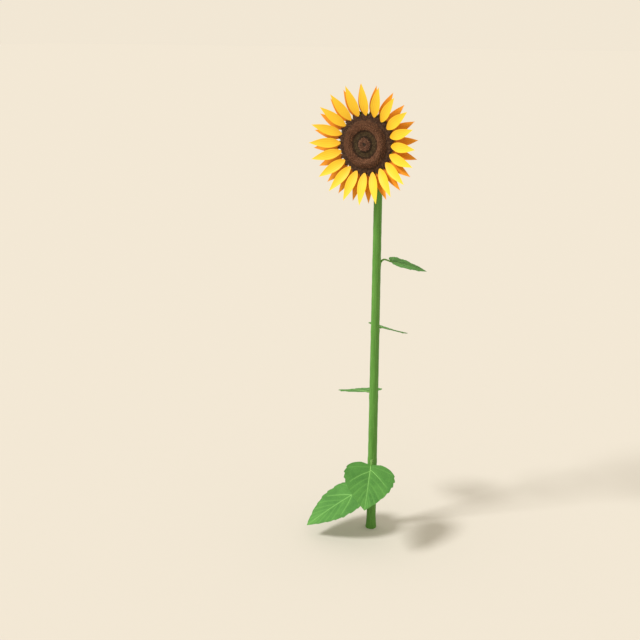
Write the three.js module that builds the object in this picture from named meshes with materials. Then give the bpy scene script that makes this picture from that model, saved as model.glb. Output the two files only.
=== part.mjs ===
// A garden sunflower in full bloom: one upright stem with five stalked leaves, and a single
// flower head that looks out sideways from a short bent neck. Millimetres, +Z up. The origin is
// the middle of the stem's flat cut at ground level, and the flower faces -Y.
import * as THREE from 'three';
import { mergeVertices } from 'three/addons/utils/BufferGeometryUtils.js';

const degrees = Math.PI / 180;
const gap = 0.3; // clearance between pieces that touch

// ---- driving dimensions ----

const stem = {
  footRadius: 18.5, // at the ground, across the flare
  lowRadius: 15.6, // above the flare
  topRadius: 12.8, // at the neck
  flareHeight: 55,
  leanBack: 14, // how far the top of the straight part stands behind the foot
  straightHeight: 1262,
  sides: 20,
};

const head = {
  centre: new THREE.Vector3(-4.7, -67, 1319), // middle of the rim plane, where the rays start
  upwardTilt: 1 * degrees,
  discRadius: 85.5,
  discBack: -10,
  collarRadius: 87,
  neckRadius: 14,
  receptacleBack: -34,
  sides: 36,
};

const rayWhorls = [
  { name: 'ray_front', color: 0xffd23c, firstAngle: 0.2, start: 0, rise: 33, tipRadius: 180, width: 28.5 },
  { name: 'ray_back', color: 0xe8922c, firstAngle: -6.8, start: -6, rise: 11, tipRadius: 178, width: 27 },
];
const raysInWhorl = 20;
const rayStartRadius = head.discRadius + 2 * gap;
const rayThickness = 1.6;
const rayCup = 2; // how far the middle of a ray lies below its two edges

const bracts = { count: 20, innerRadius: head.collarRadius + gap, tipRadius: 101, back: -17, thickness: 2.4 };

// Leaves from the ground up. direction is measured from +X towards +Y, and height is where the
// blade begins, reach its distance from the stem's axis. droop is the fall of the blade below
// level. roll lifts the side that lies clockwise of the midrib, seen from above.
const leaves = [
  { direction: 228, height: 145, reach: 43, length: 216, width: 166, droop: 28, roll: 7 },
  { direction: 291.5, height: 252, reach: 43, length: 213, width: 168, droop: 18, roll: 9 },
  { direction: 145, height: 482, reach: 40, length: 186, width: 145, droop: 16.5, roll: -4.7 },
  { direction: 86.5, height: 711, reach: 31, length: 168, width: 131, droop: 21, roll: -5.6 },
  { direction: 45, height: 936, reach: 49, length: 130, width: 103, droop: 18, roll: -8.5 },
];
const leafThickness = 2.4;
const leafArch = 0.02; // rise of the midrib's middle, as a share of the length
const leafFold = 0.04; // slope of each half of the blade, upwards from the midrib
const leafLobe = 0.02; // how far the two lobes reach back past the stalk, as a share of the length
const toothDepth = 0.02; // teeth of the margin, as a share of the half width

// The stalk stops just short of the blade, whose lobes reach back on both sides of it.
// rise is how far the blade's base lies above the foot of the stalk, which turns up to slope
// within knee of the stem. bend sets how high it arches, as a share of its reach.
const petiole = {
  rise: 3,
  knee: 6,
  slope: 50,
  bend: 0.6,
  stop: 1,
  stemRadius: 3.8,
  bladeRadius: 2.3,
  sides: 10,
  steps: 12,
};

// ---- shapes ----

// A limb is a lathe-turned taper whose straight axis is bent onto its centre line.
function limbGeometry(centreLine, radiusAt, steps, sides) {
  const profile = [new THREE.Vector2(0, 0)];
  for (let i = 0; i <= steps; i++) {
    profile.push(new THREE.Vector2(radiusAt(i / steps), i / steps));
  }
  profile.push(new THREE.Vector2(0, 1));
  const geometry = new THREE.LatheGeometry(profile, sides);
  const position = geometry.attributes.position;
  const latheAxis = new THREE.Vector3(0, 1, 0);
  const upright = new THREE.Vector3(0, 0, 1);
  const stand = new THREE.Quaternion().setFromUnitVectors(latheAxis, upright);
  for (let i = 0; i < position.count; i++) {
    const along = position.getY(i);
    const offset = new THREE.Vector3(position.getX(i), 0, position.getZ(i));
    const bend = new THREE.Quaternion().setFromUnitVectors(upright, centreLine.getTangent(along));
    offset.applyQuaternion(stand).applyQuaternion(bend).add(centreLine.getPoint(along));
    position.setXYZ(i, offset.x, offset.y, offset.z);
  }
  return closed(geometry);
}

// Seam and pole points are made one, so that the solid is closed.
function closed(geometry) {
  geometry.deleteAttribute('normal');
  geometry.deleteAttribute('uv');
  const merged = mergeVertices(geometry, 1e-4);
  const kept = [];
  const index = merged.index.array;
  for (let i = 0; i < index.length; i += 3) {
    const [a, b, c] = index.slice(i, i + 3);
    if (a !== b && b !== c && c !== a) kept.push(a, b, c);
  }
  merged.setIndex(kept);
  return merged;
}

// A blade is a thin curved plate with its base at the origin, its tip towards +Y and its upper
// face towards +Z. surfaceAt(along, across) gives a point for along 0 to 1 and across -1 to 1.
function bladeGeometry(surfaceAt, rows, columns, thickness) {
  const perRow = columns + 1;
  const perFace = perRow * (rows + 1);
  const positions = [];
  for (const side of [0.5, -0.5]) {
    for (let row = 0; row <= rows; row++) {
      for (let column = 0; column <= columns; column++) {
        const point = surfaceAt(row / rows, 2 * column / columns - 1);
        positions.push(point.x, point.y, point.z + side * thickness);
      }
    }
  }
  const index = [];
  for (let row = 0; row < rows; row++) {
    for (let column = 0; column < columns; column++) {
      const a = row * perRow + column;
      const [b, c, d] = [a + 1, a + 1 + perRow, a + perRow];
      index.push(a, b, c, a, c, d);
      index.push(a + perFace, c + perFace, b + perFace, a + perFace, d + perFace, c + perFace);
    }
  }
  const edge = [];
  for (let column = 0; column < columns; column++) edge.push(column);
  for (let row = 0; row < rows; row++) edge.push(row * perRow + columns);
  for (let column = columns; column > 0; column--) edge.push(rows * perRow + column);
  for (let row = rows; row > 0; row--) edge.push(row * perRow);
  edge.forEach((p, i) => {
    const q = edge[(i + 1) % edge.length];
    index.push(p + perFace, q + perFace, q, p + perFace, q, p);
  });
  const geometry = new THREE.BufferGeometry();
  geometry.setAttribute('position', new THREE.Float32BufferAttribute(positions, 3));
  geometry.setIndex(index);
  return geometry;
}

// Heart-shaped leaf: broad shoulders, widest at three tenths of its length, with coarse teeth
// and nearly straight sides that run to a sharp tip.
function leafGeometry({ length, width }) {
  const rows = 14;
  const shoulderPower = 0.33;
  const tipPower = 1.4;
  const fullness = (t) => t ** shoulderPower * (1 - t ** tipPower);
  const fullest = fullness((shoulderPower / (shoulderPower + tipPower)) ** (1 / tipPower));
  const surfaceAt = (along, across) => {
    const t = 0.01 + 0.99 * along;
    const tooth = 1 + toothDepth * (Math.round(along * rows) % 2 ? 1 : -1);
    const halfWidth = Math.max(1.5, width / 2 * tooth * fullness(t) / fullest);
    const setBack = leafLobe * length * across ** 2 * (1 - t) ** 6;
    const rise = 4 * leafArch * length * along * (1 - along) + leafFold * halfWidth * Math.abs(across);
    return new THREE.Vector3(across * halfWidth, along * length - setBack, rise);
  };
  return bladeGeometry(surfaceAt, rows, 6, leafThickness);
}

// Ray floret: a long spindle, pointed at both ends and widest at four tenths of its length.
function rayGeometry(length, width) {
  const surfaceAt = (along, across) => {
    const halfWidth = Math.max(0.8, width / 2 * Math.sin(Math.PI * along ** 0.756));
    const cup = rayCup * (across ** 2 - 1) * halfWidth / (width / 2);
    return new THREE.Vector3(across * halfWidth, along * length, cup);
  };
  return bladeGeometry(surfaceAt, 7, 2, rayThickness);
}

// ---- plant ----

const plant = new THREE.Group();

function addPiece(parent, name, geometry, color, roughness = 0.7) {
  const material = new THREE.MeshStandardMaterial({ color, roughness, metalness: 0 });
  const mesh = new THREE.Mesh(geometry, material);
  mesh.name = name;
  parent.add(mesh);
  return mesh;
}

// Stem: straight from the ground, then a short neck that bends forward into the receptacle.
const neckEnd = new THREE.Vector3(0, 0, head.receptacleBack - gap)
  .applyAxisAngle(new THREE.Vector3(1, 0, 0), Math.PI / 2 - head.upwardTilt)
  .add(head.centre);
const neckStart = new THREE.Vector3(0, stem.leanBack, stem.straightHeight);
const neckBend = 0.62; // how strongly the neck holds to its two end directions
const stemLine = new THREE.CurvePath();
stemLine.add(new THREE.LineCurve3(new THREE.Vector3(0, 0, 0), neckStart));
stemLine.add(new THREE.CubicBezierCurve3(
  neckStart,
  new THREE.Vector3(0, stem.leanBack, stem.straightHeight + neckBend * (neckEnd.z - stem.straightHeight)),
  new THREE.Vector3(neckEnd.x, neckEnd.y + neckBend * (stem.leanBack - neckEnd.y), neckEnd.z),
  neckEnd,
));

// The stem is split at the bend. Its rings, as shares of the whole length, crowd together at the
// flare and round the neck, and stand far apart between them.
const stemLength = stemLine.getLength();
const bendShare = 1 - stemLine.curves[1].getLength() / stemLength;
const stemRings = [0, 0.004, 0.01, 0.02, 0.035, 0.06, 0.2, 0.4, 0.6, 0.8, 0.9, bendShare];
const neckRings = [];
const neckSteps = 12;
for (let i = 0; i <= neckSteps; i++) {
  neckRings.push(THREE.MathUtils.lerp(bendShare + gap / stemLength, 1, i / neckSteps));
}

function stemRadiusAt(share) {
  const height = share * stemLength;
  const flare = (stem.footRadius - stem.lowRadius) * Math.max(0, 1 - height / stem.flareHeight) ** 2;
  const taper = stem.lowRadius + (stem.topRadius - stem.lowRadius) * share;
  const neckSpread = (head.neckRadius - stem.topRadius) * THREE.MathUtils.smoothstep(share, 0.97, 1);
  return taper + flare + neckSpread;
}

function stemTangent(share) {
  if (share <= 0) return new THREE.Vector3(0, 0, 1);
  return stemLine.getTangentAt(Math.min(share, 1));
}

// A length of the stem. Its own parameter runs evenly over its rings, one lathe step for each.
function stemGeometry(rings) {
  const shareAt = (t) => rings[Math.round(t * (rings.length - 1))];
  const line = new THREE.Curve();
  line.getPoint = (t) => stemLine.getPointAt(shareAt(t));
  line.getTangent = (t) => stemTangent(shareAt(t));
  return limbGeometry(line, (t) => stemRadiusAt(shareAt(t)), rings.length - 1, stem.sides);
}
addPiece(plant, 'stem', stemGeometry(stemRings), 0x5f963c);
addPiece(plant, 'neck', stemGeometry(neckRings), 0x5f963c);

// Each leaf is a stalk that comes level out of the stem, turns up, arches over, and runs down
// to the blade.
function petioleLine(leaf) {
  const share = (leaf.height - petiole.rise) / stemLength;
  const startRadius = stemRadiusAt(share) + gap;
  const start = new THREE.Vector3(startRadius, 0, leaf.height - petiole.rise);
  const upSlope = new THREE.Vector3(
    Math.cos(petiole.slope * degrees), 0, Math.sin(petiole.slope * degrees));
  const turn = start.clone().add(new THREE.Vector3(petiole.knee / 2, 0, 0));
  const knee = turn.clone().addScaledVector(upSlope, petiole.knee / 2);

  const bladeSlope = new THREE.Vector3(Math.cos(leaf.droop * degrees), 0, -Math.sin(leaf.droop * degrees));
  const end = new THREE.Vector3(leaf.reach, 0, leaf.height).addScaledVector(bladeSlope, -petiole.stop);
  const bendLength = petiole.bend * (end.x - knee.x);
  const kneeHandle = knee.clone().addScaledVector(upSlope, bendLength);
  const endHandle = end.clone().addScaledVector(bladeSlope, -bendLength);

  const line = new THREE.CurvePath();
  line.add(new THREE.QuadraticBezierCurve3(start, turn, knee));
  line.add(new THREE.CubicBezierCurve3(knee, kneeHandle, endHandle, end));
  return line;
}

leaves.forEach((leaf, i) => {
  const side = new THREE.Group();
  side.rotation.z = leaf.direction * degrees;
  side.position.y = stem.leanBack * leaf.height / stem.straightHeight;
  plant.add(side);

  const radiusAt = (t) => THREE.MathUtils.lerp(petiole.stemRadius, petiole.bladeRadius, Math.sqrt(t));
  const stalk = limbGeometry(petioleLine(leaf), radiusAt, petiole.steps, petiole.sides);
  addPiece(side, `petiole_${i + 1}`, stalk, 0x6aa044);

  // The blade's own +Y runs outwards and down, and its upper face stays up.
  const blade = addPiece(side, `leaf_${i + 1}`, leafGeometry(leaf), 0x62a84c);
  blade.rotation.order = 'ZXY';
  blade.rotation.set(-leaf.droop * degrees, -leaf.roll * degrees, -Math.PI / 2);
  blade.position.set(leaf.reach, 0, leaf.height);
});

// Head: its own +Z is the way that the flower looks, and its own +Y is up.
const flower = new THREE.Group();
flower.position.copy(head.centre);
flower.rotation.x = Math.PI / 2 - head.upwardTilt;
plant.add(flower);

// A lathe solid about the head's own axis, from (radius, height) pairs, back to front.
function latheOnHeadAxis(pairs) {
  const profile = pairs.map(([radius, height]) => new THREE.Vector2(radius, height));
  const geometry = new THREE.LatheGeometry(profile, head.sides);
  geometry.rotateX(Math.PI / 2);
  return closed(geometry);
}

// Disc: a dark rim, a raised ring of open florets, a groove, and a raised middle with a dimple.
const rimHeight = 3;
const ring = { radius: 58, height: 16 };
const groove = { radius: 33, height: 6 };
const button = { radius: 12, height: 14.5 };
const discProfile = [
  [0, head.discBack],
  [head.discRadius, head.discBack],
  [head.discRadius, rimHeight - 2],
  [head.discRadius - 2.5, rimHeight],
  [ring.radius + 14, rimHeight + 2],
  [ring.radius + 9, ring.height - 4],
  [ring.radius, ring.height],
  [ring.radius - 9, ring.height - 5],
  [groove.radius + 4, groove.height],
  [groove.radius - 4, groove.height],
  [button.radius + 6, button.height - 3],
  [button.radius, button.height],
  [0, button.height - 4],
];
addPiece(flower, 'seed_disc', latheOnHeadAxis(discProfile), 0x5f4436, 0.9);

// Receptacle: the green dish that carries the disc and narrows into the neck behind it.
const receptacleFront = head.discBack - gap;
const receptacleProfile = [
  [0, head.receptacleBack],
  [head.neckRadius, head.receptacleBack],
  [24, head.receptacleBack + 3],
  [48, head.receptacleBack + 8],
  [72, head.receptacleBack + 13],
  [head.collarRadius - 4, receptacleFront - 8],
  [head.collarRadius, receptacleFront - 4.5],
  [head.collarRadius, receptacleFront - 1.5],
  [head.discRadius - 1, receptacleFront],
  [0, receptacleFront],
];
addPiece(flower, 'receptacle', latheOnHeadAxis(receptacleProfile), 0x5c9440);

// Bracts: the pointed green collar round the receptacle. Each point backs a ray of the back whorl.
function bractGeometry() {
  const outline = new THREE.Shape();
  const valley = bracts.innerRadius + 4;
  const firstTip = -rayWhorls[1].firstAngle * degrees;
  for (let i = 0; i < 2 * bracts.count; i++) {
    const radius = i % 2 ? valley : bracts.tipRadius;
    const angle = firstTip + Math.PI * i / bracts.count;
    const [x, y] = [radius * Math.cos(angle), radius * Math.sin(angle)];
    if (i === 0) outline.moveTo(x, y);
    else outline.lineTo(x, y);
  }
  outline.closePath();
  const hole = new THREE.Path().absarc(0, 0, bracts.innerRadius, 0, 2 * Math.PI, true);
  outline.holes.push(hole);
  const settings = { depth: bracts.thickness, bevelEnabled: false, curveSegments: bracts.count };
  const geometry = new THREE.ExtrudeGeometry(outline, settings);
  geometry.translate(0, 0, bracts.back);
  return closed(geometry);
}
addPiece(flower, 'bract_collar', bractGeometry(), 0x6aa544);

// Rays: two whorls round the disc's edge, the front one leaning forward over the back one.
for (const whorl of rayWhorls) {
  const run = whorl.tipRadius - rayStartRadius;
  const length = Math.hypot(run, whorl.rise);
  for (let i = 0; i < raysInWhorl; i++) {
    const turn = new THREE.Group();
    turn.rotation.z = -(whorl.firstAngle + 360 * i / raysInWhorl) * degrees;
    flower.add(turn);
    const name = `${whorl.name}_${String(i + 1).padStart(2, '0')}`;
    const ray = addPiece(turn, name, rayGeometry(length, whorl.width), whorl.color);
    ray.position.set(0, rayStartRadius, whorl.start);
    ray.rotation.x = Math.atan2(whorl.rise, run);
  }
}

export default plant;
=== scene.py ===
import math

import bpy
import numpy as np
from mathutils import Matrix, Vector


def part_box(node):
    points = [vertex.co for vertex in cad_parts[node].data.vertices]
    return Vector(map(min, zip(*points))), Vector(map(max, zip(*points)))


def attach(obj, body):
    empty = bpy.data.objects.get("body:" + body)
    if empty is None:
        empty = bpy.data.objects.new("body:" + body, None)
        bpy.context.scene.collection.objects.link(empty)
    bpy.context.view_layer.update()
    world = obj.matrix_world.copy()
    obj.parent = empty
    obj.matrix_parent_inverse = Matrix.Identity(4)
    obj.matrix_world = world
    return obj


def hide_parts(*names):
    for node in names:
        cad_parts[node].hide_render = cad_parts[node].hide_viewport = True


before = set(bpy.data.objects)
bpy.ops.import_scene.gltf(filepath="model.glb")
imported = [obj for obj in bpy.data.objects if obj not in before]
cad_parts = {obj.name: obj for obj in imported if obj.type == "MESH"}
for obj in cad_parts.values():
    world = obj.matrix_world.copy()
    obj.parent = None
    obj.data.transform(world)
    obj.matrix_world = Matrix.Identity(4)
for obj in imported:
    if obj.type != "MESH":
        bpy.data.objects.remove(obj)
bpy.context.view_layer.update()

scene = bpy.context.scene

# ---- camera ----
# It stands about three metres away on the flower's left hand, a little higher than the head,
# and looks down over the plant.
camera_place = (1.405, -2.786, 1.675)
camera_dip, camera_turn = math.radians(16.6), math.radians(30)
camera_focal_length = 56.25

camera_lens = bpy.data.cameras.new("camera")
camera_lens.lens = camera_focal_length
camera = bpy.data.objects.new("camera", camera_lens)
camera.location = camera_place
camera.rotation_euler = (math.radians(90) - camera_dip, 0, camera_turn)
scene.collection.objects.link(camera)
scene.camera = camera

# ---- studio light ----
# A cream sky that lights everything evenly, and one broad lamp, high on the left in front.
sky_colour = (0.887, 0.800, 0.660)
lamp_strength = 2.9
lamp_spread = math.radians(14)
lamp_colour = (1.0, 0.97, 0.92)
lamp_from = np.array([-0.45, -0.55, 0.70])

scene.view_settings.view_transform = "Standard"
world = bpy.data.worlds.new("studio")
world.use_nodes = True
world.node_tree.nodes["Background"].inputs["Color"].default_value = (*sky_colour, 1)
scene.world = world

lamp_data = bpy.data.lights.new("lamp", "SUN")
lamp_data.energy = lamp_strength
lamp_data.angle = lamp_spread
lamp_data.color = lamp_colour
lamp = bpy.data.objects.new("lamp", lamp_data)
side_turn = math.atan2(lamp_from[0], -lamp_from[1])
lamp_tilt = math.acos(lamp_from[2] / np.linalg.norm(lamp_from))
lamp.rotation_euler = (lamp_tilt, 0, side_turn)
scene.collection.objects.link(lamp)

# ---- floor ----
# A plain pale floor at ground level, dull as paper, and wide enough to meet the sky far away.
floor_reach = 60.0
floor_colour = (0.585, 0.566, 0.530)


def mesh_piece(name, points, face_sets, materials, material_index=None, smooth=True, sharp_edge=None):
    """Object from an (n, 3) array of points and a list of arrays of faces, each (faces, corners)."""
    mesh = bpy.data.meshes.new(name)
    corner_points = np.concatenate([faces.ravel() for faces in face_sets])
    sizes = np.concatenate([np.full(len(faces), faces.shape[1]) for faces in face_sets])
    mesh.vertices.add(len(points))
    mesh.vertices.foreach_set("co", np.asarray(points, np.float32).ravel())
    mesh.loops.add(len(corner_points))
    mesh.loops.foreach_set("vertex_index", corner_points.astype(np.int32))
    mesh.polygons.add(len(sizes))
    mesh.polygons.foreach_set("loop_start", (np.cumsum(sizes) - sizes).astype(np.int32))
    mesh.polygons.foreach_set("use_smooth", np.full(len(sizes), smooth))
    if material_index is not None:
        mesh.polygons.foreach_set("material_index", np.asarray(material_index, np.int32))
    for material in materials:
        mesh.materials.append(material)
    mesh.update(calc_edges=True)
    if sharp_edge is not None:
        mesh.set_sharp_from_angle(angle=math.radians(sharp_edge))
    piece = bpy.data.objects.new(name, mesh)
    scene.collection.objects.link(piece)
    return piece


def plain_material(name, colour, roughness, specular=0.25):
    """Principled material of one colour, and its node tree's main node."""
    material = bpy.data.materials.new(name)
    material.use_nodes = True
    shader = material.node_tree.nodes["Principled BSDF"]
    shader.inputs["Base Color"].default_value = (*colour, 1)
    shader.inputs["Roughness"].default_value = roughness
    shader.inputs["Specular IOR Level"].default_value = specular
    return material, shader


floor_corners = np.array([[-1, -1, 0], [1, -1, 0], [1, 1, 0], [-1, 1, 0]]) * floor_reach
floor_material, _ = plain_material("pale_floor", floor_colour, 1.0, specular=0.0)
floor = mesh_piece("floor", floor_corners, [np.array([[0, 1, 2, 3]])], [floor_material])

# ---- stem ----
# One upright green stem, rough with short hairs and finely ribbed along its length. It swells a
# little where a leaf leaves it, flares at the ground, and bends forward into the flower's back.
foot_radius, low_radius, top_radius, neck_radius = 0.0183, 0.0157, 0.0128, 0.0139
flare_height = 0.055
lean_back = 0.014
straight_height = 1.262
neck_bend = 0.62
neck_inset = 0.006
neck_swell_from = 0.955
stem_rings, stem_sides = 330, 108
rib_count, rib_depth = 18, 0.00028
lump_depth, grain_depth = 0.00022, 0.00006
node_swell, node_length = 0.0011, 0.011
stem_dark, stem_light = (0.072, 0.218, 0.029), (0.116, 0.305, 0.053)

dish_low, dish_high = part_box("receptacle")
neck_end = np.array([(dish_low.x + dish_high.x) / 2, dish_high.y, (dish_low.z + dish_high.z) / 2])

# Leaves from the ground up: direction from +X towards +Y, height and reach of the blade's
# start, the blade's length and width, its droop below level and its roll, in degrees.
leaf_table = [
    dict(direction=228, height=0.145, reach=0.043, length=0.216, width=0.166, droop=28, roll=7),
    dict(direction=291.5, height=0.252, reach=0.043, length=0.213, width=0.168, droop=18, roll=9),
    dict(direction=145, height=0.482, reach=0.040, length=0.186, width=0.145, droop=16.5, roll=-4.7),
    dict(direction=86.5, height=0.711, reach=0.031, length=0.168, width=0.131, droop=21, roll=-5.6),
    dict(direction=45, height=0.936, reach=0.049, length=0.130, width=0.103, droop=18, roll=-8.5),
]
stalk_rise = 0.003


def bezier(points, count):
    """Points evenly spread in t on the Bezier curve of these control points, by de Casteljau."""
    t = np.linspace(0, 1, count)[:, None]
    level = [np.asarray(p, float)[None] * np.ones_like(t) for p in points]
    while len(level) > 1:
        level = [a * (1 - t) + b * t for a, b in zip(level, level[1:])]
    return level[0]


def evenly(line, count):
    """The same line through points at even distances along it."""
    steps = np.linalg.norm(np.diff(line, axis=0), axis=1)
    travelled = np.concatenate([[0], np.cumsum(steps)])
    wanted = np.linspace(0, travelled[-1], count)
    return np.stack([np.interp(wanted, travelled, line[:, k]) for k in range(3)], -1)


def rings_along(line, radii, side_axis):
    """Rings round a centre line: radius times the cosine sideways and the sine in front."""
    ahead = np.gradient(line, axis=0)
    ahead /= np.linalg.norm(ahead, axis=1, keepdims=True)
    side = side_axis - ahead * (ahead @ side_axis)[:, None]
    side /= np.linalg.norm(side, axis=1, keepdims=True)
    front = np.cross(ahead, side)
    angle = 2 * np.pi * np.arange(radii.shape[1]) / radii.shape[1]
    turn = np.cos(angle)[:, None] * side[:, None] + np.sin(angle)[:, None] * front[:, None]
    return line[:, None] + radii[..., None] * turn


def tube_faces(rows, sides):
    """Quads between neighbouring rings and a fan at each end, whose middles are the last points."""
    index = np.arange(rows * sides).reshape(rows, sides)
    beside = np.roll(index, -1, axis=1)
    walls = np.stack([index[:-1], beside[:-1], beside[1:], index[1:]], -1).reshape(-1, 4)
    start, end = rows * sides, rows * sides + 1
    first = np.stack([np.full(sides, start), beside[0], index[0]], -1)
    last = np.stack([np.full(sides, end), index[-1], beside[-1]], -1)
    return walls, np.concatenate([first, last])


def tube_points(rings):
    """The rings' points, then the middles of the first ring and of the last."""
    ends = np.stack([rings[0].mean(0), rings[-1].mean(0)])
    return np.concatenate([rings.reshape(-1, 3), ends])


def ripple(x, y, seed, waves=9, low=1.0, high=4.0):
    """Smooth unevenness between about -1 and 1: a sum of seeded sine waves over two directions."""
    draw = np.random.default_rng(seed)
    total = np.zeros(np.broadcast(x, y).shape)
    for _ in range(waves):
        heading = draw.uniform(0, 2 * np.pi)
        pitch = draw.uniform(low, high)
        start = draw.uniform(0, 2 * np.pi)
        total += np.sin(pitch * (np.cos(heading) * x + np.sin(heading) * y) + start)
    return total / math.sqrt(2 * waves)


def stem_radius(height):
    """An even taper, and a flare at the foot that fades with the square of the way up it."""
    share = np.clip(height / straight_height, 0, 1)
    flare = (foot_radius - low_radius) * np.clip(1 - height / flare_height, 0, None) ** 2
    return low_radius + (top_radius - low_radius) * share + flare


neck_start = np.array([0, lean_back, straight_height])
neck_rise = neck_bend * (neck_end[2] - straight_height)
neck_reach = neck_bend * (lean_back - neck_end[1])
neck = bezier([
    neck_start,
    neck_start + [0, 0, neck_rise],
    neck_end + [0, neck_reach, 0],
    neck_end,
], 60)
into_dish = neck_end - [0, neck_inset, 0]
stem_line = evenly(np.concatenate([[[0, 0, 0]], neck, [into_dish]]), stem_rings)
stem_travel = np.linspace(0, 1, stem_rings)[:, None]
around = 2 * np.pi * np.arange(stem_sides)[None] / stem_sides

bare = stem_radius(stem_line[:, 2])[:, None] * np.ones_like(around)
neck_share = np.clip((stem_travel - neck_swell_from) / (1 - neck_swell_from), 0, 1)
bare += (neck_radius - top_radius) * neck_share**2
for leaf in leaf_table:
    place = (stem_line[:, 2:] - leaf["height"] + stalk_rise) / node_length
    leafward = np.cos(around - math.radians(leaf["direction"]))
    bare += node_swell * np.exp(-place**2) * (0.6 + 0.4 * leafward)
rib_wander = 0.5 * ripple(stem_travel * 7, 0 * around, seed=3)
ribs = np.abs(np.sin(rib_count / 2 * around + rib_wander)) ** 0.7 - 0.6
lumps = ripple(stem_travel * 60, 2.0 * np.cos(around), seed=4)
grain = ripple(stem_travel * 700, 14 * np.cos(around) + 9 * np.sin(around), seed=5, waves=14)
stem_radii = bare + rib_depth * ribs + lump_depth * lumps + grain_depth * grain
stem_radii[0] = bare[0]
stem_ring_points = rings_along(stem_line, stem_radii, np.array([1.0, 0, 0]))
stem_ring_points[0, :, 2] = 0
stem_ring_points[..., 2] = np.maximum(stem_ring_points[..., 2], 0)


class Skin:
    """Short names for the few node kinds that the skins of stem, leaves and rays are built from."""

    def __init__(self, name, roughness, specular):
        self.material, self.shader = plain_material(name, (0.5, 0.5, 0.5), roughness, specular)
        self.tree = self.material.node_tree
        self.place = self.tree.nodes.new("ShaderNodeTexCoord").outputs["Object"]

    def node(self, kind, **values):
        made = self.tree.nodes.new(kind)
        for name, value in values.items():
            setattr(made, name, value)
        return made

    def link(self, source, socket):
        self.tree.links.new(source, socket)

    def stretched(self, vector, scale):
        """The vector times a scale along each axis."""
        mapping = self.node("ShaderNodeMapping")
        mapping.inputs["Scale"].default_value = scale
        self.link(vector, mapping.inputs["Vector"])
        return mapping.outputs["Vector"]

    def noise(self, vector, scale, detail):
        made = self.node("ShaderNodeTexNoise")
        made.inputs["Scale"].default_value = scale
        made.inputs["Detail"].default_value = detail
        self.link(vector, made.inputs["Vector"])
        return made.outputs["Fac"]

    def cells(self, vector, scale):
        """Distance to the nearest border of a honeycomb of uneven cells."""
        made = self.node("ShaderNodeTexVoronoi", feature="DISTANCE_TO_EDGE")
        made.inputs["Scale"].default_value = scale
        self.link(vector, made.inputs["Vector"])
        return made.outputs["Distance"]

    def spread(self, value, low, high, out_low=0.0, out_high=1.0):
        """The value taken from low..high to out_low..out_high, and held there."""
        made = self.node("ShaderNodeMapRange", clamp=True)
        for name, number in (("From Min", low), ("From Max", high),
                             ("To Min", out_low), ("To Max", out_high)):
            made.inputs[name].default_value = number
        self.link(value, made.inputs["Value"])
        return made.outputs["Result"]

    def attribute(self, name):
        made = self.node("ShaderNodeAttribute", attribute_name=name)
        return made.outputs["Fac"]

    def mixed(self, share, first, second):
        """Colour that goes from first to second; each is a colour or another node's output."""
        made = self.node("ShaderNodeMix", data_type="RGBA")
        self.link(share, made.inputs["Factor"])
        for socket, colour in ((made.inputs[6], first), (made.inputs[7], second)):
            if isinstance(colour, tuple):
                socket.default_value = (*colour, 1)
            else:
                self.link(colour, socket)
        return made.outputs[2]

    def colour(self, source):
        self.link(source, self.shader.inputs["Base Color"])

    def bump(self, height, distance, strength):
        """Fine relief over the mesh; further reliefs are laid on the one before."""
        made = self.node("ShaderNodeBump")
        made.inputs["Distance"].default_value = distance
        made.inputs["Strength"].default_value = strength
        self.link(height, made.inputs["Height"])
        before = self.shader.inputs["Normal"]
        if before.is_linked:
            self.link(before.links[0].from_socket, made.inputs["Normal"])
        self.link(made.outputs["Normal"], before)


def stem_skin(name, dark, light):
    """Green skin with pale streaks that run up the stem, soft blotches and fine pimples."""
    skin = Skin(name, roughness=0.62, specular=0.3)
    streaks = skin.noise(skin.stretched(skin.place, (1.0, 1.0, 0.035)), 330, detail=4)
    blotches = skin.noise(skin.place, 14, detail=3)
    tone = skin.mixed(skin.spread(streaks, 0.36, 0.66), dark, light)
    skin.colour(skin.mixed(skin.spread(blotches, 0.35, 0.7, 0, 0.4), tone, dark))
    skin.bump(streaks, 0.0004, 0.6)
    skin.bump(skin.noise(skin.place, 1500, detail=2), 0.0002, 0.4)
    return skin.material


stem_green = stem_skin("stem_green", stem_dark, stem_light)
stem_piece = mesh_piece(
    "stem_skin", tube_points(stem_ring_points), tube_faces(stem_rings, stem_sides), [stem_green],
    sharp_edge=60)
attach(stem_piece, "root")
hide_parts("stem", "neck")

# ---- leaf stalks ----
# Each leaf hangs on a slim green stalk with a groove along its top. It grows out of the stem
# with a broader foot, arches over, and runs on under the blade.
stalk_foot_radius, stalk_radius, stalk_end_radius = 0.0054, 0.0030, 0.0024
stalk_sunk = 0.004
stalk_slope, stalk_bend = math.radians(50), 0.68
stalk_under_blade, stalk_below_blade = 0.010, 0.0006
stalk_groove, stalk_groove_width, stalk_foot_share = 0.22, 0.45, 0.16
stalk_unevenness = 0.03
stalk_rings, stalk_sides = 40, 28
# The stalk's own greens, darkened part way with painted shade, as for a stalk's shaded underside.
shaded_stalk_dark, shaded_stalk_light = (0.096, 0.250, 0.043), (0.160, 0.365, 0.076)


class BladePlace:
    """Where a blade sits: the stem's axis beside it, the way out from the stem, the blade's start,
    and its own across, along and upward directions."""

    def __init__(self, axis, outward, start, across, along, face):
        self.axis, self.outward, self.start = axis, outward, start
        self.across, self.along, self.face = across, along, face

    def placed(self, points):
        """Points given as (across, along, up) in the blade's own directions, set in the plant."""
        own = np.stack([self.across, self.along, self.face])
        return self.start + points @ own


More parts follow.
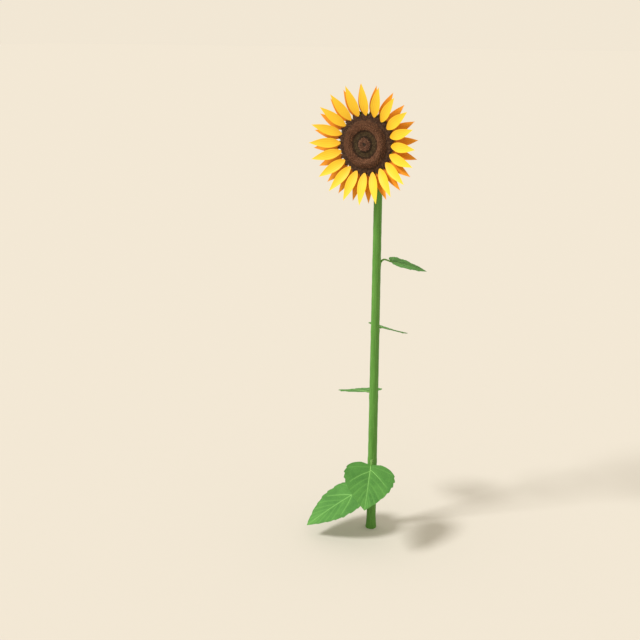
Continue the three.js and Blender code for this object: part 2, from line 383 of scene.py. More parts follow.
def blade_place(leaf):
    """The blade's directions: level outwards, tipped down by its droop, then turned by its roll."""
    way = math.radians(leaf["direction"])
    droop, roll = math.radians(leaf["droop"]), math.radians(leaf["roll"])
    outward = np.array([math.cos(way), math.sin(way), 0])
    clockwise = np.array([math.sin(way), -math.cos(way), 0])
    upward = np.array([0, 0, 1.0])
    along = outward * math.cos(droop) - upward * math.sin(droop)
    square = outward * math.sin(droop) + upward * math.cos(droop)
    across = clockwise * math.cos(roll) + square * math.sin(roll)
    face = square * math.cos(roll) - clockwise * math.sin(roll)
    axis = np.array([0, lean_back * leaf["height"] / straight_height, 0])
    start = axis + outward * leaf["reach"] + upward * leaf["height"]
    return BladePlace(axis, outward, start, across, along, face)


stalk_rings_made = []
stalk_green = stem_skin("stalk_green", shaded_stalk_dark, shaded_stalk_light)
for number, leaf in enumerate(leaf_table, start=1):
    at = blade_place(leaf)
    inside = float(stem_radius(leaf["height"] - stalk_rise)) - stalk_sunk
    root = at.axis + at.outward * inside + [0, 0, leaf["height"] - stalk_rise]
    handle = stalk_bend * (leaf["reach"] - inside)
    upward = at.outward * math.cos(stalk_slope) + np.array([0, 0, math.sin(stalk_slope)])
    meets_blade = at.start - at.face * stalk_below_blade
    stalk_line = evenly(bezier([
        root,
        root + upward * handle,
        meets_blade - at.along * handle * 0.8,
        meets_blade + at.along * stalk_under_blade,
    ], 80), stalk_rings)
    travel = np.linspace(0, 1, stalk_rings)[:, None]
    angle = 2 * np.pi * np.arange(stalk_sides)[None] / stalk_sides
    slim = stalk_radius + (stalk_end_radius - stalk_radius) * travel
    foot = (stalk_foot_radius - stalk_radius) * np.exp(-(travel / stalk_foot_share) ** 2)
    off_top = (angle - np.pi / 2) / stalk_groove_width
    groove = 1 - stalk_groove * np.exp(-off_top**2) * np.clip(travel * 4, 0, 1)
    fine = 1 + stalk_unevenness * ripple(travel * 30, 2 * np.cos(angle), seed=20 + number)
    stalk_radii = (slim + foot) * groove * fine
    stalk_radii[-3:] *= np.array([0.85, 0.6, 0.25])[:, None]
    clockwise = np.cross(at.outward, [0, 0, 1.0])
    rings = rings_along(stalk_line, stalk_radii, -clockwise)
    stalk_rings_made.append(rings)
    stalk = mesh_piece(
        f"stalk_{number}", tube_points(rings), tube_faces(stalk_rings, stalk_sides), [stalk_green])
    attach(stalk, "root")
    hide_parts(f"petiole_{number}")

# ---- hairs ----
# Short stiff white hairs stand out all over the stem and the leaf stalks, and are thickest on
# the upper half of the stem.
stem_hair_count, stalk_hair_count = 7000, 420
hair_length = (0.0009, 0.0021)
hair_radius, hair_sunk = 0.00013, 0.0002
hair_unruly = 0.35
hair_colour = (0.42, 0.60, 0.26)


def hair_points(roots, outward, lengths, radius, draw):
    """Thin three-sided spikes: a small triangle at the root and a tip along the outward way."""
    lean = outward + hair_unruly * draw.normal(size=outward.shape)
    lean /= np.linalg.norm(lean, axis=1, keepdims=True)
    across = np.cross(lean, np.array([0.3, 0.5, 0.8]))
    across /= np.linalg.norm(across, axis=1, keepdims=True)
    other = np.cross(lean, across)
    corners = []
    for angle in 2 * np.pi * np.arange(3) / 3:
        corners.append(roots + radius * (math.cos(angle) * across + math.sin(angle) * other))
    tip = roots + lean * lengths[:, None]
    return np.stack([*corners, tip], 1)


def hairs_on(rings, row_share, draw):
    """A hair for each share of the way along the rings, at a random place round its ring."""
    row = (row_share * (len(rings) - 4)).astype(int)
    roots = rings[row, draw.integers(0, rings.shape[1], len(row))]
    outward = roots - rings.mean(1)[row]
    outward /= np.linalg.norm(outward, axis=1, keepdims=True)
    lengths = draw.uniform(*hair_length, len(row))
    return hair_points(roots - hair_sunk * outward, outward, lengths, hair_radius, draw)


def repeated(faces, copies, points_each):
    """The same faces for each copy, counted on through its own points."""
    return (faces[None] + points_each * np.arange(copies)[:, None, None]).reshape(-1, faces.shape[1])


hair_faces = np.array([[0, 2, 1], [0, 1, 3], [1, 2, 3], [2, 0, 3]])
draw = np.random.default_rng(11)
thicker_above = 1 - 0.985 * draw.uniform(0, 1, stem_hair_count) ** 1.5
hairs = [hairs_on(stem_ring_points, thicker_above, draw)]
for rings in stalk_rings_made:
    hairs.append(hairs_on(rings, draw.uniform(0.2, 0.85, stalk_hair_count), draw))
hairs = np.concatenate(hairs)
hair_material, _ = plain_material("pale_hair", hair_colour, 0.5)
hair_piece = mesh_piece(
    "hairs", hairs.reshape(-1, 3), [repeated(hair_faces, len(hairs), 4)], [hair_material],
    smooth=False)
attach(hair_piece, "root")

# ---- leaf blades ----
# Large heart-shaped leaves, thin and slightly folded along the midrib, with coarse teeth. The
# pale midrib and its side veins are round cords let into the blade, which puckers between them.
blade_rows, blade_columns = 132, 84
blade_thickness = 0.0007
leaf_lobe, leaf_arch, leaf_fold = 0.02, 0.02, 0.04
shoulder_power, tip_power = 0.33, 1.4
tooth_count, tooth_depth, tooth_fall, tooth_lean = 8, 0.052, 0.78, 0.007
margin_wave, pucker_depth = 0.0022, 0.0004
vein_valley = 0.0011
vein_table = [
    dict(start=0.045, end=0.17, radius=0.0005, strong=False),
    dict(start=0.145, end=0.47, radius=0.0009, strong=True),
    dict(start=0.300, end=0.64, radius=0.0005, strong=False),
    dict(start=0.420, end=0.75, radius=0.0005, strong=False),
    dict(start=0.540, end=0.85, radius=0.0004, strong=False),
    dict(start=0.650, end=0.92, radius=0.0004, strong=False),
    dict(start=0.750, end=0.96, radius=0.0004, strong=False),
]
midrib_radius = 0.0013
vein_sides, vein_sunk, vein_taper = 8, 0.85, 0.78
strong_vein_reach, faint_vein_reach = 0.78, 0.93
valley_spread, valley_margin = 5.0, 0.0012
pale_spread, pale_margin = 2.2, 0.0006
edge_thinning = 0.55
# The blade's own greens, darkened with painted shade to the level of leaves lying in a neighbour's
# shadow; the patches between the two tones are the leaf's own.
shaded_leaf_dark, shaded_leaf_light = (0.054, 0.192, 0.036), (0.080, 0.250, 0.048)
leaf_under = (0.135, 0.320, 0.095)
net_green, beside_vein_green = (0.140, 0.360, 0.080), (0.150, 0.390, 0.085)
strong_vein_green, faint_vein_green = (0.270, 0.570, 0.165), (0.110, 0.310, 0.066)


def fullness(t):
    """Half width as a share of the fullest: a power for the shoulders, another for the tip."""
    share = shoulder_power / (shoulder_power + tip_power)
    fullest = share ** (shoulder_power / tip_power) * (1 - share)
    return np.clip(t, 1e-4, 1) ** shoulder_power * (1 - np.clip(t, 0, 1) ** tip_power) / fullest


def blade_height(leaf, x, y, seed):
    """Arch along the midrib, fold up to both sides, and a margin that waves more and more."""
    t = np.clip(y / leaf["length"], 0, 1)
    arch = 4 * leaf_arch * leaf["length"] * t * (1 - t)
    out = np.abs(x) / (leaf["width"] / 2)
    wave = margin_wave * out**2 * ripple(t * 9, 0.5 * np.sign(x), seed=seed, waves=5)
    return arch + leaf_fold * np.abs(x) + wave


def vein_lines(leaf, seed):
    """Each vein as (line of flat points, radius at its start, whether it is a strong one). A side
    vein leaves the midrib at a slant and bends towards the tip. The radii suit a 0.21 m blade."""
    draw = np.random.default_rng(seed)
    length, half = leaf["length"], leaf["width"] / 2
    size = length / 0.21
    midrib = bezier([[0, -0.001], [0, 0.5 * length], [0, 0.985 * length]], 60)
    lines = [(midrib, midrib_radius * size, True)]
    for vein in vein_table:
        for side in (-1, 1):
            start = vein["start"] + draw.uniform(-0.012, 0.012) + 0.01 * side
            end = vein["end"] + draw.uniform(-0.01, 0.01)
            share = strong_vein_reach if vein["strong"] else faint_vein_reach
            margin = share * half * fullness(np.array(end))
            bend = 0.52 + 0.1 * (start < 0.1)
            line = bezier([
                [0, start * length],
                [side * bend * margin, (start + 0.38 * (end - start)) * length],
                [side * margin, end * length],
            ], 36)
            lines.append((line, vein["radius"] * size, vein["strong"]))
    return lines


def distance_to(line, x, y):
    """For each place, the distance to the nearest of the line's short segments."""
    best = np.full(x.shape, np.inf)
    for a, b in zip(line[:-1], line[1:]):
        way = b - a
        share = np.clip(((x - a[0]) * way[0] + (y - a[1]) * way[1]) / (way @ way), 0, 1)
        best = np.minimum(best, np.hypot(x - a[0] - share * way[0], y - a[1] - share * way[1]))
    return best


def plate_faces(rows, columns):
    """Upper and lower faces of two facing grids, and the narrow rim that joins their edges."""
    count = rows * columns
    index = np.arange(count).reshape(rows, columns)
    upper = np.stack([index[:-1, :-1], index[:-1, 1:], index[1:, 1:], index[1:, :-1]], -1)
    upper = upper.reshape(-1, 4)
    lower = upper[:, ::-1] + count
    edge = np.concatenate([index[0, :-1], index[:-1, -1], index[-1, :0:-1], index[:0:-1, 0]])
    after = np.roll(edge, -1)
    rim = np.stack([edge + count, after + count, after, edge], -1)
    return np.concatenate([upper, lower, rim])


def add_values(piece, name, values):
    """A number for each point of the mesh, which a material reads by its name."""
    layer = piece.data.attributes.new(name, "FLOAT", "POINT")
    layer.data.foreach_set("value", np.asarray(values, np.float32).ravel())


def leaf_skin():
    """Satin green, darker and yellower in patches, paler beside the veins and underneath, with
    a fine net of veinlets in the relief."""
    skin = Skin("leaf_green", roughness=0.6, specular=0.22)
    patches = skin.noise(skin.place, 22, detail=4)
    tone = skin.mixed(skin.spread(patches, 0.32, 0.68), shaded_leaf_dark, shaded_leaf_light)
    net = skin.cells(skin.place, 210)
    tone = skin.mixed(skin.spread(net, 0.0, 0.10, 0.28, 0.0), tone, net_green)
    tone = skin.mixed(skin.spread(skin.attribute("vein"), 0, 1, 0, 0.35), tone, beside_vein_green)
    skin.colour(skin.mixed(skin.attribute("under"), tone, leaf_under))
    skin.bump(skin.spread(net, 0.0, 0.35), 0.0006, 0.8)
    skin.bump(skin.noise(skin.place, 900, detail=2), 0.0002, 0.5)
    return skin.material


def blade_grid(leaf, number):
    """Flat places of a toothed blade, across and along. The margin swells and leans forward with
    each slanting tooth, by shares that fade towards the midrib with the cube of the way out."""
    length, half = leaf["length"], leaf["width"] / 2
    u = np.linspace(0, 1, blade_rows)[:, None]
    v = np.linspace(-1, 1, blade_columns)[None]
    t = 0.01 + 0.99 * u
    saw = (tooth_count * t**0.9 + 0.10 * np.sin(9 * t + number) + 0.15 * np.sign(v)) % 1
    tooth = np.minimum(saw / tooth_fall, (1 - saw) / (1 - tooth_fall))
    toothed = np.clip(6 * (t - 0.03), 0, 1) * np.clip(8 * (1 - t), 0, 1) * np.abs(v) ** 3
    reach = np.maximum(half * fullness(t) * (1 + tooth_depth * (tooth - 0.5) * toothed), 0.0004)
    lobe = leaf_lobe * length * v**2 * (1 - t) ** 6
    return v * reach, u * length - lobe + tooth_lean * length * tooth * toothed


def vein_relief(veins, x, y):
    """How deep each place lies in the veins' valleys, and how near it is to a vein. Both fall off
    as a bell with the distance to the vein, and a thick vein's bell is wider."""
    nearest = np.full(x.shape, np.inf)
    valley = np.zeros(x.shape)
    for line, radius, strong in veins:
        away = distance_to(line, x, y)
        spread = valley_spread * radius + valley_margin
        valley = np.maximum(valley, (0.6 + 0.4 * strong) * np.exp(-((away / spread) ** 2)))
        nearest = np.minimum(nearest, away / (radius + pale_margin))
    return valley, np.exp(-(nearest / pale_spread) ** 2)


def vein_rings(line, radius, leaf, at, seed):
    """Rings of the round cord along a vein: it thins out evenly, and lies low in its valley."""
    height = blade_height(leaf, line[:, 0], line[:, 1], seed=seed) - vein_valley * vein_sunk
    centre = at.placed(np.stack([line[:, 0], line[:, 1], height], -1))
    share_left = 1 - vein_taper * np.linspace(0, 1, len(line))[:, None]
    radii = radius * share_left * np.ones((1, vein_sides))
    radii[0] *= 0.5
    radii[-1] *= 0.3
    return rings_along(centre, radii, at.face)


blade_green = leaf_skin()
vein_pale, _ = plain_material("vein_pale", strong_vein_green, 0.55)
vein_faint, _ = plain_material("vein_faint", faint_vein_green, 0.55)
blade_walls = plate_faces(blade_rows, blade_columns)
edge_thin = 1 - edge_thinning * np.abs(np.linspace(-1, 1, blade_columns)) ** 6

for number, leaf in enumerate(leaf_table, start=1):
    at = blade_place(leaf)
    x, y = blade_grid(leaf, number)
    veins = vein_lines(leaf, seed=40 + number)
    valley, near = vein_relief(veins, x, y)
    pucker = pucker_depth * ripple(x * 330, y * 330, seed=80 + number, waves=12)
    z = blade_height(leaf, x, y, seed=60 + number) - vein_valley * valley + pucker * (1 - valley)
    half_thick = 0.5 * blade_thickness * edge_thin
    top = at.placed(np.stack([x, y, z + half_thick], -1))
    bottom = at.placed(np.stack([x, y, z - half_thick], -1))
    points = [top.reshape(-1, 3), bottom.reshape(-1, 3)]
    walls, wall_colours = [blade_walls], [np.zeros(len(blade_walls))]
    caps, cap_colours = [], []
    offset = 2 * x.size
    for line, radius, strong in veins:
        rings = vein_rings(line, radius, leaf, at, seed=60 + number)
        tube, ends = tube_faces(len(line), vein_sides)
        points.append(tube_points(rings))
        walls.append(tube + offset)
        caps.append(ends + offset)
        wall_colours.append(np.full(len(tube), 1 if strong else 2))
        cap_colours.append(np.full(len(ends), 1 if strong else 2))
        offset += len(points[-1])
    blade = mesh_piece(
        f"blade_{number}", np.concatenate(points), [np.concatenate(walls), np.concatenate(caps)],
        [blade_green, vein_pale, vein_faint], np.concatenate(wall_colours + cap_colours),
        sharp_edge=55)
    on_cords = np.zeros(offset - 2 * x.size)
    add_values(blade, "vein", np.concatenate([near.ravel(), near.ravel(), on_cords]))
    add_values(blade, "under", np.concatenate([np.zeros(x.size), np.ones(x.size), on_cords]))
    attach(blade, "root")
    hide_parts(f"leaf_{number}")

# ---- receptacle ----
# The fleshy green dish behind the flower, a smooth turned form that grows out of the neck.
disc_low, disc_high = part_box("seed_disc")
disc_radius = (disc_high.x - disc_low.x) / 2
rim_back = 0.010
head_tilt = math.radians(1)
facing = np.array([0, -math.cos(head_tilt), math.sin(head_tilt)])
head_up = np.array([0, math.sin(head_tilt), math.cos(head_tilt)])
head_right = np.array([1.0, 0, 0])
head_y = disc_high.y - disc_radius * math.sin(head_tilt) - rim_back
head_centre = np.array([(disc_low.x + disc_high.x) / 2, head_y, (disc_low.z + disc_high.z) / 2])
head_sides, head_rings = 96, 60
dish_dark, dish_light = (0.090, 0.260, 0.034), (0.150, 0.370, 0.060)
dish_unevenness = 0.0005


def on_head(angle, radius, forward):
    """Point at a clock angle from the top, a distance from the middle, and forward of the rim."""
    radial = np.sin(angle)[..., None] * head_right + np.cos(angle)[..., None] * head_up
    return head_centre + radial * radius[..., None] + forward[..., None] * facing


def turned(profile, sides, bumps=0.0, seed=0):
    """Rings of a turned form about the head's axis, from the back middle to the front middle. The
    profile is walked in even steps, and its low bumps fade out over the inner half."""
    radius, forward = np.asarray(profile, float).T
    steps = np.concatenate([[0], np.cumsum(np.hypot(np.diff(radius), np.diff(forward)))])
    fine = np.linspace(0, steps[-1], head_rings)
    radius, forward = np.interp(fine, steps, radius), np.interp(fine, steps, forward)
    angle = 2 * np.pi * np.arange(sides) / sides
    rise = bumps * ripple(radius[:, None] * 90, 3 * np.cos(angle)[None], seed=seed + 1)
    fade = np.clip(radius / radius.max() * 2, 0, 1)[:, None]
    angle = angle[None] * np.ones((len(radius), 1))
    return on_head(-angle, radius[:, None] + 0 * angle, forward[:, None] - rise * fade)


dish_profile = [
    (0.0020, -0.0345), (0.0138, -0.0343), (0.0165, -0.0325), (0.0230, -0.0303), (0.0350, -0.0282),
    (0.0480, -0.0262), (0.0600, -0.0240), (0.0720, -0.0212), (0.0800, -0.0184), (0.0845, -0.0155),
    (0.0855, -0.0120), (0.0850, -0.0095), (0.0800, -0.0085), (0.0020, -0.0085),
]
dish_rings = turned(dish_profile, head_sides, bumps=dish_unevenness, seed=90)
dish_green = stem_skin("dish_green", dish_dark, dish_light)
dish = mesh_piece(
    "dish", tube_points(dish_rings), tube_faces(len(dish_rings), head_sides), [dish_green],
    sharp_edge=60)
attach(dish, "root")
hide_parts("receptacle")

# ---- bracts ----
# Three overlapping whorls of pointed green scales clothe the back of the head. Each scale of
# the front whorl backs one of the orange rays, and the tips of the back whorl curl away.
bract_rows, bract_columns = 22, 9
bract_thickness, bract_cup, bract_keel = 0.0007, 0.0016, 0.0005
bract_whorls = [
    dict(count=20, width=0.0225, turn=-0.38,
         path=[(0.066, -0.0235), (0.090, -0.0225), (0.1000, -0.0135)]),
    dict(count=20, width=0.0215, turn=0.12,
         path=[(0.052, -0.0270), (0.084, -0.0270), (0.1010, -0.0165)]),
    dict(count=15, width=0.0165, turn=0.2,
         path=[(0.030, -0.0305), (0.062, -0.0335), (0.0800, -0.0330)]),
]
bract_colours = dict(
    bract_green=(0.110, 0.300, 0.045), bract_light=(0.150, 0.360, 0.062),
    bract_deep=(0.085, 0.250, 0.038))


def bract_sides(whorl, k, draw):
    """Front and back of one scale of a whorl, each a little different. It is widest at a third of
    its length and drawn to a point. Its edges are cupped, and a low keel fades towards the tip."""
    angle = 2 * np.pi * (k + whorl["turn"] + draw.uniform(-0.08, 0.08)) / whorl["count"]
    line = bezier(np.array(whorl["path"]) * draw.uniform(0.985, 1.012), bract_rows)
    line[:, 1] += np.linspace(0, 1, bract_rows) ** 2 * draw.uniform(-0.002, 0.002)
    s = np.linspace(0.02, 1, bract_rows)
    v = np.linspace(-1, 1, bract_columns)
    shape = s**0.45 * (1 - s) ** 1.05 / (0.3**0.45 * 0.7**1.05)
    half_width = np.maximum(whorl["width"] / 2 * draw.uniform(0.9, 1.08) * shape, 0.0004)
    swing = draw.uniform(-0.05, 0.05) * s**2
    x = half_width[:, None] * v
    own_angle = angle + swing[:, None] + x / line[:, :1]
    radius = line[:, :1] + 0 * x
    cup = bract_cup * v**2 * np.clip(half_width / 0.008, 0, 1)[:, None]
    keel = bract_keel * np.exp(-(v / 0.18) ** 2) * (1 - s)[:, None]
    back = line[:, 1:] + cup - keel
    return [on_head(own_angle, radius, back + bract_thickness).reshape(-1, 3),
            on_head(own_angle, radius, back).reshape(-1, 3)]


bract_points, bract_shades = [], []
draw = np.random.default_rng(101)
for whorl in bract_whorls:
    for k in range(whorl["count"]):
        bract_points += bract_sides(whorl, k, draw)
        bract_shades.append(draw.integers(0, 3))
one_bract = plate_faces(bract_rows, bract_columns)
bract_total = len(bract_shades)
bract_greens = [plain_material(name, green, 0.6)[0] for name, green in bract_colours.items()]
bract_piece = mesh_piece(
    "bracts", np.concatenate(bract_points),
    [repeated(one_bract, bract_total, 2 * bract_rows * bract_columns)], bract_greens,
    np.repeat(bract_shades, len(one_bract)), sharp_edge=60)
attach(bract_piece, "root")
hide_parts("bract_collar")

# ---- seed disc ----
# The disc's base is a low turned mound with a rim, a raised ring, a groove and a raised middle.
# It is hidden almost everywhere by the florets that stand on it.
ground_profile = [
    (0.0020, -0.0080), (0.0840, -0.0080), (0.0852, -0.0040), (0.0848, -0.0008), (0.0825, 0.0008),
    (0.0735, 0.0010), (0.0690, 0.0040), (0.0640, 0.0098), (0.0585, 0.0124), (0.0520, 0.0106),
    (0.0455, 0.0052), (0.0380, 0.0028), (0.0265, 0.0028), (0.0200, 0.0080), (0.0130, 0.0112),
    (0.0070, 0.0085), (0.0010, 0.0065),
]
mound_rings = turned(ground_profile, head_sides)
mound_brown, _ = plain_material("mound_brown", (0.045, 0.028, 0.018), 0.9)
mound = mesh_piece(
    "disc_mound", tube_points(mound_rings), tube_faces(len(mound_rings), head_sides), [mound_brown])
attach(mound, "root")
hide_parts("seed_disc")

# ---- florets ----
# Some fifteen hundred florets stand on the disc in crossing spirals, each at the golden angle
# from the last. Those of the rim are withered and dark, those of the raised ring are open, those
# of the groove and its two walls are still shut, and the youngest make the button in the middle.
# The florets at the button's foot, on the ring's inner wall and on the ring's outer slope are
# painted darker: painted shade in the groove's corners and on the slope.
floret_total = 1500
floret_reach = 0.0846
golden_angle = math.pi * (3 - math.sqrt(5))
floret_sides = 10
floret_lean_share = 0.75
# A form goes up a floret, in shares of its half spacing and of its height. The widest point of an
# open or withered one is its mouth, which has five lobes.
mouth_row, mouth_lobes = 2, 5
bud_form = [(0.80, 0.0), (0.98, 0.35), (0.90, 0.66), (0.55, 0.90), (0.16, 1.0)]
open_form = [
    (0.62, 0.0), (0.78, 0.50), (1.14, 0.76), (0.46, 0.62), (0.34, 0.95), (0.30, 1.12), (0.12, 1.16)]
withered_form = [
    (0.70, 0.0), (0.84, 0.45), (1.22, 0.66), (0.46, 0.62), (0.34, 0.80), (0.22, 1.04), (0.06, 1.08)]
floret_zones = [
    dict(name="button_florets", inner=0.0, outer=0.0195, form=bud_form, height=0.0036, lobes=0.0,
         colours=[(0.195, 0.092, 0.058), (0.155, 0.072, 0.045), (0.235, 0.120, 0.075)]),
    # The florets at the button's foot are painted darker: painted shade in the groove's inner corner.
    dict(name="painted_shade_foot_florets", inner=0.0195, outer=0.0245, form=bud_form, height=0.0034, lobes=0.0,
         colours=[(0.052, 0.034, 0.022), (0.042, 0.028, 0.018), (0.064, 0.042, 0.026)]),
    dict(name="groove_florets", inner=0.0245, outer=0.0385, form=bud_form, height=0.0040, lobes=0.0,
         colours=[(0.098, 0.064, 0.034), (0.078, 0.054, 0.029), (0.124, 0.086, 0.044)]),
    # The florets on the ring's inner wall are painted darker: painted shade on the groove's outer
    # wall.
    dict(name="painted_shade_wall_florets", inner=0.0385, outer=0.0455, form=bud_form, height=0.0038, lobes=0.0,
         colours=[(0.072, 0.040, 0.024), (0.056, 0.032, 0.020), (0.090, 0.050, 0.030)]),
    dict(name="crest_florets", inner=0.0455, outer=0.0605, form=open_form, height=0.0048, lobes=0.30,
         colours=[(0.235, 0.112, 0.064), (0.190, 0.090, 0.051), (0.280, 0.140, 0.080)]),
    # The florets on the ring's outer slope have the crest's browns darkened: painted shade on the
    # slope that falls away.
    dict(name="painted_shade_slope_florets", inner=0.0605, outer=0.0700, form=open_form, height=0.0044, lobes=0.30,
         colours=[(0.170, 0.080, 0.045), (0.135, 0.064, 0.036), (0.205, 0.100, 0.056)]),
    dict(name="rim_florets", inner=0.0700, outer=1.0, form=withered_form, height=0.0038, lobes=0.34,
         colours=[(0.080, 0.040, 0.024), (0.058, 0.030, 0.019), (0.110, 0.060, 0.036)]),
]
dimple_radius = 0.0065
dimple_brown = (0.050, 0.036, 0.024)

number = np.arange(floret_total) + 0.5
floret_radius = floret_reach * np.sqrt(number / floret_total)
floret_angle = number * golden_angle
floret_spacing = floret_reach * math.sqrt(math.pi / floret_total)
top_profile = ground_profile[4:][::-1]
profile_radius = np.array([radius for radius, _ in top_profile])
profile_forward = np.array([forward for _, forward in top_profile])
ground_at = np.interp(floret_radius, profile_radius, profile_forward)
ground_step = 0.001
slope = np.interp(floret_radius + ground_step, profile_radius, profile_forward) - np.interp(
    floret_radius - ground_step, profile_radius, profile_forward)
floret_lean = np.arctan2(-slope, 2 * ground_step)


def floret_points(zone, chosen, draw):
    """Points of a zone's florets, by floret, ring and side. Each is a turned form with its own
    width, height and turn, and leans three quarters of the way to its ground's slope."""
    count = int(chosen.sum())
    form = np.array(zone["form"])
    side = 2 * np.pi * np.arange(floret_sides) / floret_sides
    at_mouth = (np.arange(len(form)) == mouth_row)[:, None]
    lobe = 1 + zone["lobes"] * np.cos(mouth_lobes * side) * at_mouth
    ring = form[:, :1] * lobe * floret_spacing * 0.5
    size = draw.uniform(0.88, 1.08, count)[:, None, None]
    tall = zone["height"] * draw.uniform(0.85, 1.15, count)[:, None, None]
    turn = draw.uniform(0, 2 * np.pi, count)[:, None, None]
    x = ring * np.cos(side + turn) * size
    y = ring * np.sin(side + turn) * size
    z = form[None, :, 1:] * tall + 0 * x
    unruly = draw.normal(0, 0.06, count)[:, None, None]
    lean = floret_lean_share * floret_lean[chosen][:, None, None] + unruly
    radial = y * np.cos(lean) + z * np.sin(lean)
    forward = z * np.cos(lean) - y * np.sin(lean) + ground_at[chosen][:, None, None]
    angle = floret_angle[chosen][:, None, None]
    base_radius = floret_radius[chosen][:, None, None]
    out = np.sin(angle)[..., None] * head_right + np.cos(angle)[..., None] * head_up
    sideways = np.cos(angle)[..., None] * head_right - np.sin(angle)[..., None] * head_up
    return (head_centre + out * (base_radius + radial)[..., None] + sideways * x[..., None]
            + forward[..., None] * facing)


draw = np.random.default_rng(131)
for zone in floret_zones:
    chosen = (floret_radius >= zone["inner"]) & (floret_radius < zone["outer"])
    points = floret_points(zone, chosen, draw)
    count, rows = points.shape[:2]
    flat = points.reshape(count, rows * floret_sides, 3)
    ends = np.stack([points[:, 0].mean(1), points[:, -1].mean(1)], 1)
    walls, caps = tube_faces(rows, floret_sides)
    each = rows * floret_sides + 2
    shade = draw.integers(0, 3, count)
    materials = [
        plain_material(f"{zone['name']}_{k}", colour, 0.8, specular=0.12)[0]
        for k, colour in enumerate(zone["colours"])]
    if zone["inner"] == 0.0:
        materials.append(plain_material("dimple_brown", dimple_brown, 0.85)[0])
        shade = np.where(floret_radius[chosen] < dimple_radius, len(zone["colours"]), shade)
    indices = np.concatenate([np.repeat(shade, len(walls)), np.repeat(shade, len(caps))])
    florets = mesh_piece(
        zone["name"], np.concatenate([flat, ends], 1).reshape(-1, 3),
        [repeated(walls, count, each), repeated(caps, count, each)], materials, indices,
        sharp_edge=50)
    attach(florets, "root")

# ---- rim spikes ----
# A ring of dark pointed scales stands round the disc's edge, between the florets and the rays.
spike_count = 40
spike_rows, spike_columns = 9, 5
spike_root, spike_tip = 0.0800, 0.0995
spike_width, spike_front, spike_back = 0.0138, 0.0011, 0.0002
spike_rise, spike_droop, spike_arch = 0.0020, 0.0042, 0.0016


def spike_sides(k, draw):
    """Front and back of one scale, each a little different. Its width falls with the square of the
    way to the tip. It starts proud and arched, and droops and flattens on the way."""
    s = np.linspace(0, 1, spike_rows)[:, None]
    v = np.linspace(-1, 1, spike_columns)[None]
    angle = 2 * np.pi * (k + draw.uniform(-0.12, 0.12)) / spike_count
    tip = spike_tip + draw.uniform(-0.0020, 0.0015)
    half_width = np.maximum(spike_width / 2 * (1 - s**2), 0.0003)
    radius = spike_root + (tip - spike_root) * s + 0 * v
    forward = spike_rise - spike_droop * s**1.5 - spike_arch * v**2 * (1 - s) + 0 * v
    own_angle = angle + half_width * v / radius
    return [on_head(own_angle, radius, forward + spike_front).reshape(-1, 3),
            on_head(own_angle, radius, forward - spike_back).reshape(-1, 3)]


draw = np.random.default_rng(151)
spikes = []
for k in range(spike_count):
    spikes += spike_sides(k, draw)
one_spike = plate_faces(spike_rows, spike_columns)
spike_brown, _ = plain_material("spike_brown", (0.052, 0.026, 0.016), 0.75, specular=0.15)
spike_piece = mesh_piece(
    "rim_spikes", np.concatenate(spikes),
    [repeated(one_spike, spike_count, 2 * spike_rows * spike_columns)], [spike_brown], sharp_edge=60)
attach(spike_piece, "root")

# ---- rays ----
# Two whorls of twenty silky rays. Each is a long spindle with fine pleats from base to tip, a
# little cupped, and pointed. The yellow front whorl leans forward over the back whorl, whose
# orange is painted shade: yellow rays darkened as if shaded by the front whorl.
ray_count = 20
ray_rows, ray_columns = 34, 17
ray_thickness, ray_bow, ray_cup = 0.0005, 0.0026, 0.0024
pleat_count, pleat_depth = 5, 0.00035
ray_whorls = [
    dict(name="rays_front", node="ray_front", first=0.2, start=0.0843, forward=0.0016, rise=0.0312,
         tip=0.180, width=0.0300, slot="ray_yellow", seed=171,
         base=(0.84, 0.44, 0.014), body=(0.90, 0.56, 0.026), end=(0.92, 0.63, 0.045)),
    # The back whorl's orange colours are painted shade: yellow rays darkened as if shaded by the front
    # whorl.
    dict(name="rays_back", node="ray_back", first=-6.8, start=0.0845, forward=-0.0060, rise=0.0110,
         tip=0.178, width=0.0275, slot="ray_orange", seed=181,
         base=(0.62, 0.20, 0.006), body=(0.74, 0.27, 0.010), end=(0.80, 0.33, 0.014)),
]
s = np.linspace(0, 1, ray_rows)[:, None]
v = np.linspace(-1, 1, ray_columns)[None]
outline = np.maximum(np.sin(np.pi * s**0.756), 0.02)
pleats = np.cos(pleat_count * np.pi * v) * np.clip(outline * 1.5, 0, 1)


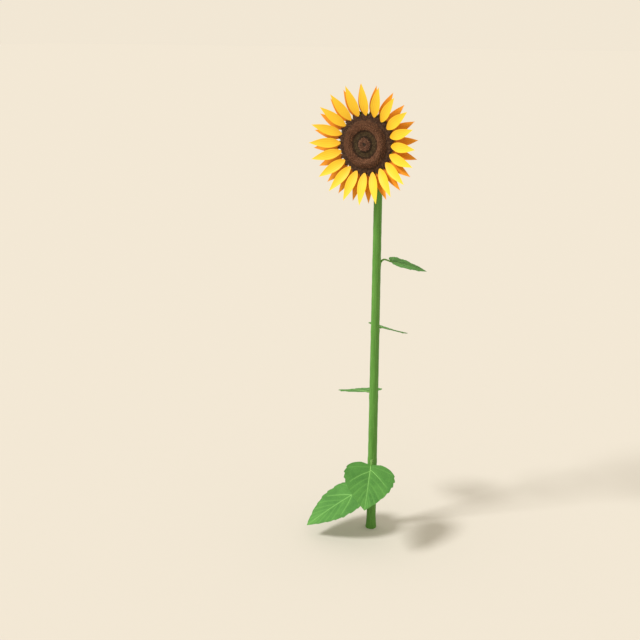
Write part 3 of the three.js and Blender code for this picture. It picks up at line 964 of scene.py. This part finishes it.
def ray_skin(name, base, body, end):
    """Silky petal: its colour runs from base to tip, with fine streaks along the pleats."""
    skin = Skin(name, roughness=0.48, specular=0.3)
    along = skin.attribute("along")
    tone = skin.mixed(skin.spread(along, 0.0, 0.35), base, body)
    tone = skin.mixed(skin.spread(along, 0.55, 1.0), tone, end)
    pleat = skin.attribute("pleat")
    skin.colour(skin.mixed(skin.spread(pleat, 0.0, 1.0, 0.22, 0.0), tone, base))
    return skin.material


def ray_sides(whorl, k, draw):
    """Front and back of one ray, each a little different. It rises evenly and bows forward from
    base to tip, is cupped across, bends to one side and twists, and is thinnest at its edges."""
    angle = math.radians(whorl["first"] + 360 * k / ray_count + draw.uniform(-0.8, 0.8))
    tip = whorl["tip"] * draw.uniform(0.99, 1.015)
    half_width = whorl["width"] / 2 * draw.uniform(0.97, 1.05) * outline
    bend = draw.uniform(-0.0025, 0.0025) * s**2
    twist = draw.uniform(-0.10, 0.10) * s
    nod = draw.uniform(-0.0015, 0.0015) * s
    x = half_width * v
    radius = whorl["start"] + (tip - whorl["start"]) * s + 0 * v
    lift = whorl["forward"] + whorl["rise"] * s + ray_bow * np.sin(np.pi * s)
    cup = ray_cup * (v**2 - 0.6) * outline
    forward = lift + cup + pleat_depth * pleats + x * twist + nod
    own_angle = angle + (x + bend) / radius
    thick = 0.5 * ray_thickness * (1 - 0.4 * v**4)
    return [on_head(own_angle, radius, forward + thick).reshape(-1, 3),
            on_head(own_angle, radius, forward - thick).reshape(-1, 3)]


for whorl in ray_whorls:
    draw = np.random.default_rng(whorl["seed"])
    petals = []
    for k in range(ray_count):
        petals += ray_sides(whorl, k, draw)
    one_petal = plate_faces(ray_rows, ray_columns)
    rays = mesh_piece(
        whorl["name"], np.concatenate(petals),
        [repeated(one_petal, ray_count, 2 * ray_rows * ray_columns)],
        [ray_skin(whorl["node"] + "_silk", whorl["base"], whorl["body"], whorl["end"])], sharp_edge=60)
    add_values(rays, "along", np.tile((s + 0 * v).ravel(), 2 * ray_count))
    add_values(rays, "pleat", np.tile((0.5 + 0.5 * pleats).ravel(), 2 * ray_count))
    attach(rays, "root")
    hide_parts(*[f"{whorl['node']}_{k + 1:02d}" for k in range(ray_count)])
